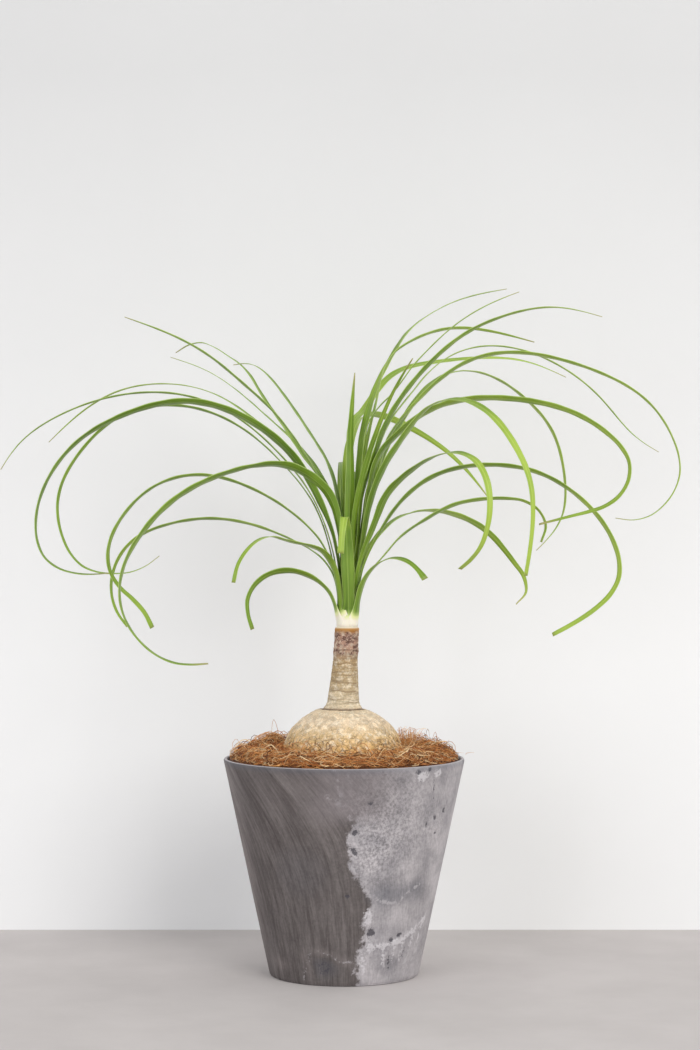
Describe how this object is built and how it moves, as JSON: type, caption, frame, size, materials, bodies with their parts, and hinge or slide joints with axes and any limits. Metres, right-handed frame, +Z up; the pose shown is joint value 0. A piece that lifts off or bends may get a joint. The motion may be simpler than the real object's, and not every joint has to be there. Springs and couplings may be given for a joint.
{
  "type": "potted ponytail palm",
  "caption": "Tapered stone-look planter holding a ponytail palm: swollen woody bulb, short leaning stem, coir mulch and a crown of long arching strap leaves.",
  "frame": {"origin": "centre of the planter's flat underside, on the surface it stands on", "axes": "+Z up, +X to the plant's right as seen from its front, -Y towards the front"},
  "size_m": [0.5651, 0.3013, 0.5921],
  "materials": {
    "stone_composite": "matt marbled slate-grey stone and resin composite",
    "potting_soil": "dark damp peat soil",
    "coir": "loose orange-brown coir fibre",
    "bark": "pale tan cracked bark",
    "leaf": "smooth satin green leaf, lighter along the midrib and under it"
  },
  "bodies": {
    "root": {"pot": "stone_composite", "potting_soil": "potting_soil", "coir_mulch": "coir", "trunk_and_bulb": "bark", "leaf_01": "leaf", "leaf_02": "leaf", "leaf_03": "leaf", "leaf_04": "leaf", "leaf_05": "leaf", "leaf_06": "leaf", "leaf_07": "leaf", "leaf_08": "leaf", "leaf_09": "leaf", "leaf_10": "leaf", "leaf_11": "leaf", "leaf_12": "leaf", "leaf_13": "leaf", "leaf_14": "leaf", "leaf_15": "leaf", "leaf_16": "leaf", "leaf_17": "leaf", "leaf_18": "leaf", "leaf_19": "leaf", "leaf_20": "leaf", "leaf_21": "leaf", "leaf_22": "leaf", "leaf_23": "leaf", "leaf_24": "leaf", "leaf_25": "leaf", "leaf_26": "leaf", "leaf_27": "leaf", "leaf_28": "leaf", "leaf_29": "leaf", "leaf_30": "leaf", "leaf_31": "leaf", "leaf_32": "leaf", "leaf_33": "leaf", "leaf_34": "leaf"}
  },
  "joints": []
}
